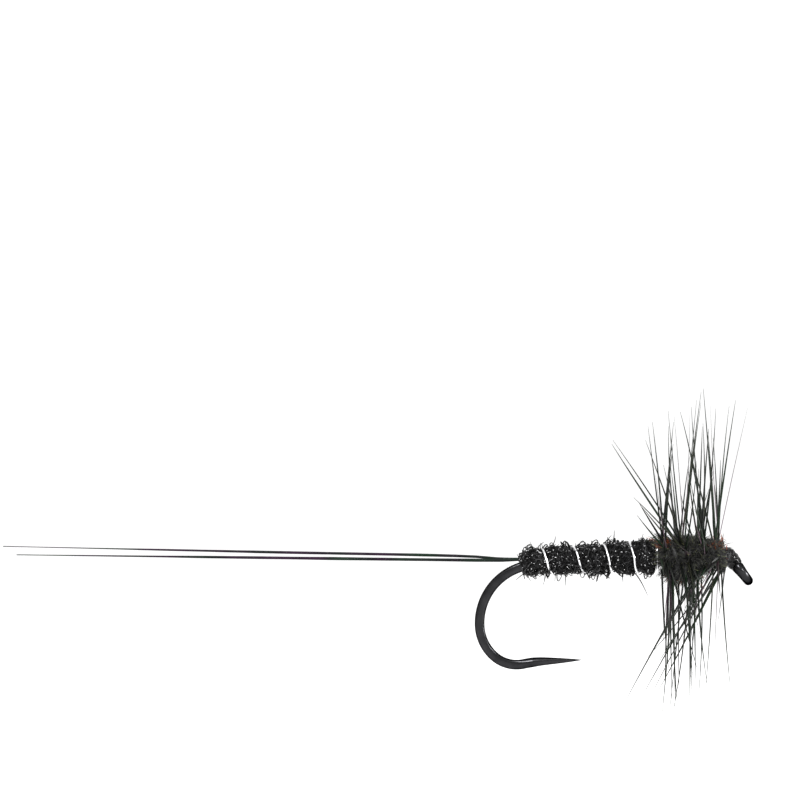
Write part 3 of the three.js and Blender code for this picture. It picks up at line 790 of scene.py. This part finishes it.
def make_rib(material):
    """The rib, laid in the pinches of the fur, from its butt under the lashing to its tie-off."""
    butt_stations = np.linspace(LASHING_END - RIB_BUTT_LENGTH, LASHING_END + RIB_DIAMETER, 12)
    butt = round_fly(butt_stations, 0, RIB_BUTT_RADIUS, RIB_BUTT_ANGLE)
    angle = np.arange(RIB_STARTS_AT, RIB_TURNS * TURN - RIB_STOPS_SHORT, 7.5 * DEGREE)
    station = rib_station(angle)
    sunk = RIB_BITE + 0.03
    bedded = abdomen_radius(station) + RIB_DIAMETER / 2 - sunk
    wander = 0.025 * lumps(round_fly(station, 0, bedded, angle), 0.8, 51)
    turns = round_fly(station + wander, abdomen_rise(station), bedded, angle)
    share = np.linspace(0.08, 1, 20)
    face = ABDOMEN_START - 1.5 * FIT_GAP - RIB_DIAMETER / 2
    edge = abdomen_radius(ABDOMEN_START)
    closing_in = edge + (RIB_BUTT_RADIUS - edge) * share
    down = round_fly(face, ABDOMEN_RISE * (1 - share), closing_in, share * (TURN + RIB_BUTT_ANGLE))
    under = round_fly(np.linspace(face - RIB_DIAMETER, face - 0.7, 4), 0, RIB_BUTT_RADIUS, RIB_BUTT_ANGLE)
    points = np.concatenate([butt, turns, down, under])
    gone = np.concatenate([[0], np.cumsum(np.linalg.norm(np.diff(points, axis=0), axis=1))])
    count = 900
    even = np.linspace(0, gone[-1], count)
    route = np.stack([np.interp(even, gone, points[:, axis]) for axis in range(3)], -1)
    half_window = 4
    window = np.hanning(2 * half_window + 1)
    window /= window.sum()
    inner = np.stack([np.convolve(route[:, axis], window, "same") for axis in range(3)], -1)
    route[half_window:-half_window] = inner[half_window:-half_window]
    build = Build()
    build.strands(route[None], np.full((1, count), RIB_DIAMETER / 2), 10, np.array([0.5]))
    return build.piece("silver_rib", material, "rib_wire", "rib_wire")


def on_thorax(angle, radius, shift, forward=0):
    """Points on the thorax windings at an angle from where they start at the rear. The last turn closes
    up against the head."""
    station = THORAX_END - HERL_WIDTH / 2 - shift - HERL_PITCH * angle / TURN
    station = np.maximum(station, HEAD_REAR + THORAX_CLEAR_OF_HEAD) - forward
    return round_fly(station, THORAX_RISE, radius, angle)


def herl_depth(angle):
    """The CAD herl's depth at an angle along its winding."""
    front_half = smoothstep(0.5, 1, angle / THORAX_ANGLE)
    return HERL_DEPTH + (HERL_FRONT_DEPTH - HERL_DEPTH) * front_half


def quill_radius(angle):
    """How far the hackle's quill lies from the thorax's axis."""
    return HERL_BORE + herl_depth(angle - math.pi) + FIT_GAP


def herl_bulk(angle, shift):
    """How full the herl stands along its turns: lower at the front, highest on top behind the middle,
    and heavy under it."""
    share = (HERL_PITCH * angle / TURN + shift) / (THORAX_END - THORAX_START)
    front = 1 - 0.45 * smoothstep(0.5, 1.0, share)
    rear = 0.85 + 0.15 * smoothstep(0, 0.15, share)
    below = np.maximum(0, -np.cos(angle)) ** 3
    middle = smoothstep(0.08, 0.3, share) * (1 - smoothstep(0.45, 0.62, share))
    on_top = np.maximum(0, np.cos(angle))
    crown = on_top * smoothstep(0.04, 0.22, share) * (1 - smoothstep(0.5, 0.8, share))
    return front * rear * (1 + 1.1 * below * middle + 0.3 * crown)


def head_stubs(build, rng, count):
    """Stiff stubs of flue that stand up and lean forwards over the head."""
    share = np.linspace(0, 1, 6)[None]
    station = HEAD_REAR + rng.uniform(-0.35, 0.5, (count, 1))
    angle = rng.normal(0, 55 * DEGREE, (count, 1))
    length = rng.uniform(0.3, 0.72, (count, 1)) * (0.55 + 0.45 * np.cos(angle))
    lean = rng.uniform(-0.3, 0.9, (count, 1))
    height = HEAD_RADIUS - 0.05 + np.cos(lean) * length * share
    forward = np.sin(lean) * length * share**1.3
    routes = round_fly(station - forward, THORAX_RISE, height, angle)
    radius = rng.uniform(0.022, 0.042, (count, 1)) * (1 - 0.75 * share**1.4)
    tint = np.where(rng.random(count) < 0.22, rng.uniform(0.93, 1, count), rng.random(count) * 0.5)
    build.strands(routes, radius, 6, tint)


def make_herl(name, node, shift, material, seed):
    """One herl: a matted band of flue wound round, with its barbules standing out all along it."""
    rng = np.random.default_rng(seed)
    build = Build()
    full_angle = THORAX_ANGLE + HERL_OVERRUN
    angle = np.linspace(0, full_angle, 300)[:, None]
    section = np.linspace(0, TURN, 20, endpoint=False)[None]
    bulk = herl_bulk(angle, shift)
    across = -np.cos(section) * HERL_WIDTH * 0.5
    radius = HERL_BORE + FLUE_BAND_DEPTH * bulk * (0.5 + 0.5 * np.sin(section))
    rows = on_thorax(angle, radius, shift, across)
    build.loft(rows + 0.04 * lumps(rows, 0.3, seed)[..., None], tint=0.2)

    count = HERL_BARBULES
    share = np.linspace(0, 1, 5)[None]
    root = rng.uniform(0, full_angle, (count, 1))
    bulk = herl_bulk(root, shift)
    lean = rng.uniform(-1.15, 1.15, (count, 1))
    tufted = 1 + 0.4 * lumps(on_thorax(root, 1, shift), 0.9, 43)
    length = rng.uniform(0.36, 0.52, (count, 1)) * bulk * tufted
    longer = rng.random((count, 1)) < 0.08
    length = np.where(longer, length * 1.5, length)
    bend = rng.normal(0, 0.5, (count, 1))
    reach = length * share
    radius = HERL_BORE + 0.08 + np.cos(lean) * reach
    over_the_head = 0.45 * smoothstep(0.8, 1, root / full_angle) * share
    over_the_body = 0.6 * (1 - smoothstep(0, 0.16, root / full_angle)) * share
    sideways = np.sin(lean) * reach + 0.1 * bend * share**2 + over_the_head - over_the_body
    swirl = root + rng.normal(0.12, 0.16, (count, 1)) * share
    routes = on_thorax(swirl, radius, shift, sideways)
    thickness = rng.uniform(0.013, 0.024, (count, 1)) * (1 - 0.6 * share)
    on_top_of_an_end = (np.abs(root[:, 0] / full_angle - 0.5) > 0.36) & (np.cos(root[:, 0]) > 0.6)
    underneath = np.cos(root[:, 0]) < -0.93
    rusty = (rng.random(count) < 0.15) & (on_top_of_an_end | underneath)
    tint = np.where(rusty, rng.uniform(0.93, 1.0, count), rng.random(count) ** 1.2 * 0.9)
    build.strands(routes, thickness, 3, tint)
    head_stubs(build, rng, HERL_HEAD_STUBS)
    return build.piece(name, material, "peacock_herl", node)


def barb_lean(share, angle, rng):
    """Each barb's lean towards the tail, worked out in degrees. Above, they cross each other, and a few
    at the rear lie far back. Below, they stand nearly straight, but some of the front ones cross back
    under the rest."""
    count = len(share)
    fan = 6 * (0.45 - share)
    above = rng.normal(0, 8.5, count) + fan
    lies_back = (share < 0.45) & (rng.random(count) < 0.2)
    above = np.where(lies_back, rng.uniform(27, 41, count), above)
    below = rng.normal(2, 3.5, count)
    crosses_back = (share > 0.6) & (rng.random(count) < 0.5)
    below = np.where(crosses_back, rng.normal(30, 3, count), below)
    upright = np.abs(np.cos(angle)) ** 0.6
    return np.where(np.cos(angle) > 0, above, below) * upright * DEGREE


def make_hackle(material):
    """The hackle: a wound quill with its barbs standing out, stiff, tapered and slightly curved."""
    rng = np.random.default_rng(5)
    build = Build()
    shift = HERL_PITCH / 4
    full_turn = THORAX_ANGLE + math.pi / 2
    quill_points = 320
    quill_angle = np.linspace(0, full_turn, quill_points)
    quill_sunk = 0.1
    quill = on_thorax(quill_angle, quill_radius(quill_angle) - quill_sunk, shift)
    build.strands(quill[None], np.full((1, quill_points), QUILL_DIAMETER / 2), 8, np.array([0.3]))

    count = HACKLE_BARBS
    place = (np.arange(count) + rng.uniform(0, 1, count)) / count
    angle = place * full_turn
    lean = barb_lean(place, angle, rng)
    length = BARB_LENGTH * rng.uniform(0.78, 1.0, count)
    short = rng.random(count) < 0.16
    short_share = 0.55
    length = np.where(short, length * short_share, length)
    above = np.cos(angle) > 0
    scatter = np.where(above, 0.13, 0.28) * rng.normal(0, 1, count)
    forward = np.where(above, 0.4, 1.3) * (place - 0.45) + scatter
    root_depth = 0.2
    root = on_thorax(angle, quill_radius(angle) - root_depth, shift, forward)
    outward = normalised(on_thorax(angle, quill_radius(angle) + 1, shift, forward) - root)
    outward = normalised(outward + rng.normal(0, 0.05, (count, 3)) * np.array([0, 1, 1]))
    direction = outward * np.cos(lean)[:, None] - np.array([1.0, 0, 0]) * np.sin(lean)[:, None]
    share = np.linspace(0, 1, 16)[None, :, None]
    curl = rng.normal(0, 0.03, (count, 1, 3))
    routes = root[:, None] + direction[:, None] * length[:, None, None] * share
    routes = routes + curl * length[:, None, None] * share**2
    taper = 1 - 0.86 * share[..., 0] ** 1.8
    tint = rng.random(count) * 0.9
    fine = rng.random(count) < 0.15
    tint = np.where(fine, rng.uniform(0.93, 1, count), tint)
    thickest = np.where(fine, 0.024, rng.uniform(0.044, 0.066, count))
    build.strands(routes, thickest[:, None] * taper, 6, tint)
    return build.piece("hackle_barbs", material, "hackle", "hackle_feather")


def head_profile(station):
    """The thread head's outer radius: full at the rear, closing towards the eye."""
    share = np.clip((station - HEAD_FRONT) / (HEAD_REAR - HEAD_FRONT), 0, 1)
    low = LASHING_RADIUS - LASHING_RISE
    wave = np.sin(math.pi * (HEAD_PHASES[0] + (HEAD_PHASES[1] - HEAD_PHASES[0]) * share))
    return low + (HEAD_RADIUS - low) * wave**HEAD_ROUNDING


def make_head_wraps(material):
    """The head: one thread, laid side by side over the head, with a second layer crossing it."""
    build = Build()
    for layer, slope in ((0, 1), (1, -1)):
        turns = round((HEAD_REAR - HEAD_FRONT) / (THREAD_WIDTH * (0.9 + 0.7 * layer)))
        angle = np.linspace(0, turns * TURN, turns * 30)
        share = angle / angle[-1]
        share = share if slope > 0 else 1 - share
        station = HEAD_FRONT + 0.03 + (HEAD_REAR - HEAD_FRONT - 0.06) * share
        lift = THREAD_THICKNESS * (0.5 * layer - 0.75)
        route = round_fly(station, 0, head_profile(station) + lift, angle)
        build.strands(route[None], np.full((1, len(angle)), THREAD_WIDTH / 2), 8, np.array([0.5]))
    return build.piece("head_thread", material, "tying_thread", "head_wraps")


def make_whip_finish(material):
    """The last three turns of thread, on the neck of the hook."""
    front, rear = stations("whip_finish")
    turns = 3
    angle = np.linspace(0, turns * TURN, turns * 30)
    station = rear - (rear - front) * angle / angle[-1]
    thread_radius = 0.03
    radius = WIRE_RADIUS + 1.5 * thread_radius
    route = round_fly(station, 0, radius, angle)
    build = Build()
    build.strands(route[None], np.full((1, len(angle)), thread_radius), 6, np.array([0.5]))
    return build.piece("whip_finish_thread", material, "tying_thread", "whip_finish")


def make_varnish(material):
    """The varnish: a wet skin from the back of the head to the root of the eye, where it makes a cone of
    the neck. The thread's turns show through it."""
    front = -NECK_LENGTH - VARNISH_ON_EYE
    rear = stations("head_varnish")[1]
    station = np.linspace(front, rear, 150)[:, None]
    angle = np.linspace(0, TURN, 80, endpoint=False)[None]
    station, angle = np.broadcast_arrays(station, angle)
    over_eye_wire, cone_growth = 0.12, 0.08
    cone = over_eye_wire + cone_growth * smoothstep(front, -NECK_LENGTH + 0.35, station)
    neck = EYE_WIRE_DIAMETER / 2 + cone
    towards_head = smoothstep(-NECK_LENGTH + 0.1, HEAD_FRONT + 0.2, station)
    film, ridge_height, unevenness = 0.04, 0.006, 0.035
    skin = neck + (head_profile(station) + film - neck) * towards_head
    ridges = ridge_height * np.sin(TURN * station / THREAD_WIDTH + angle) * towards_head
    skin = skin + ridges + unevenness * lumps(round_fly(station, 0, skin, angle), 0.55, 61)
    skin = skin * smoothstep(-0.05, 0.2, station - front) ** 0.3
    back_along_eye = [-math.cos(EYE_DOWN_ANGLE), 0, math.sin(EYE_DOWN_ANGLE)]
    beyond = np.minimum(station + NECK_LENGTH, 0)[..., None] * back_along_eye
    outside = round_fly(station, 0, skin, angle) + beyond
    inner_share = 0.9
    inside = round_fly(station, 0, skin * inner_share, angle) + beyond
    build = Build()
    build.loft(np.concatenate([outside, inside[::-1]]), ends=False)
    return build.piece("varnish_skin", material, "head_varnish", "head_varnish")


# ---------------------------------------------------------------- stage, light and camera


def make_stage():
    """A wide, plain, pale floor, a little below the fly."""
    radius = 3
    drop = 0.004
    height = cad_low.z - drop
    rings = np.array([0.0005, 0.05, 0.2, 0.6, 1]) * radius
    angle = np.linspace(0, TURN, 96, endpoint=False)
    corners = np.stack(
        [
            rings[:, None] * np.cos(angle),
            rings[:, None] * np.sin(angle),
            np.full((len(rings), len(angle)), height),
        ],
        -1,
    )
    index = np.arange(len(rings) * len(angle)).reshape(len(rings), len(angle))
    following = np.roll(index, -1, axis=1)
    faces = np.stack([index[:-1], index[1:], following[1:], following[:-1]], -1).reshape(-1, 4).tolist()
    faces.append(index[0].tolist())
    mesh = bpy.data.meshes.new("stage_floor")
    mesh.from_pydata(corners.reshape(-1, 3).tolist(), [], faces)
    mesh.materials.append(pale_floor())
    stage = bpy.data.objects.new("stage_floor", mesh)
    bpy.context.scene.collection.objects.link(stage)


def make_light(name, place, size, power):
    """A soft square light, aimed at the body of the fly."""
    light = bpy.data.lights.new(name, "AREA")
    light.size = size
    light.energy = power
    lamp = bpy.data.objects.new(name, light)
    lamp.location = place
    aim = (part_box("abdomen_dubbing")[1] - lamp.location).normalized()
    lamp.rotation_euler = aim.to_track_quat("-Z", "Y").to_euler()
    bpy.context.scene.collection.objects.link(lamp)


def make_lights():
    """A white surround and three soft square lights."""
    world = bpy.data.worlds.new("studio")
    world.use_nodes = True
    background = world.node_tree.nodes["Background"]
    background.inputs["Color"].default_value = (1, 1, 1, 1)
    surround_strength = 1.06
    background.inputs["Strength"].default_value = surround_strength
    bpy.context.scene.world = world
    bpy.context.scene.view_settings.view_transform = "Standard"
    make_light("key_softbox", (-0.06, -0.32, 0.30), size=0.10, power=2.2)
    make_light("front_softbox", (0.24, -0.30, 0.16), size=0.05, power=1.0)
    make_light("side_softbox", (0.30, -0.06, 0.03), size=0.05, power=1.2)


def make_camera():
    """A long lens that looks along +Y, rolled so that the shank rises a little to the right."""
    distance = 0.4
    width_shown = 0.0418
    roll = 2 * DEGREE
    framing = Vector((0.00117, 0, 0.0091))
    aim = (cad_low + cad_high) / 2 + framing
    camera = bpy.data.cameras.new("camera")
    camera.sensor_width = 36
    camera.lens = camera.sensor_width * distance / width_shown
    camera.clip_start = 0.01
    holder = bpy.data.objects.new("camera", camera)
    right = Vector((math.cos(roll), 0, -math.sin(roll)))
    up = Vector((math.sin(roll), 0, math.cos(roll)))
    back = Vector((0, -1, 0))
    turned = Matrix((right, up, back)).transposed().to_4x4()
    holder.matrix_world = Matrix.Translation(aim + back * distance) @ turned
    bpy.context.scene.collection.objects.link(holder)
    bpy.context.scene.camera = holder


# ---------------------------------------------------------------- the whole fly


def make_fly():
    """Every piece of the fly. The windings that the dressing covers stay as they are in the CAD."""
    thread = waxed_thread()
    make_hook(black_nickel())
    hair = tail_hair()
    make_tail("tail_fibre_upper", UPPER_HAIR_THICKNESS, UPPER_HAIR_SAG, hair, seed=31)
    make_tail("tail_fibre_lower", LOWER_HAIR_THICKNESS, LOWER_HAIR_SAG, hair, seed=32)
    make_abdomen(dubbing_felt())
    make_dubbing_fibres(dubbing_fur())
    make_rib(silver_wire())
    flue = peacock_flue()
    make_herl("herl_strand_1", "peacock_herl_1", 0, flue, seed=41)
    make_herl("herl_strand_2", "peacock_herl_2", HERL_PITCH / 2, flue, seed=42)
    make_hackle(cock_hackle())
    make_head_wraps(thread)
    make_whip_finish(thread)
    make_varnish(head_varnish())
    for node in ("thread_base", "tail_lashing", "rib_tie_off", "thorax_tie_in"):
        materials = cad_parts[node].data.materials
        materials.clear()
        materials.append(thread)


make_camera()
make_lights()
make_stage()
make_fly()
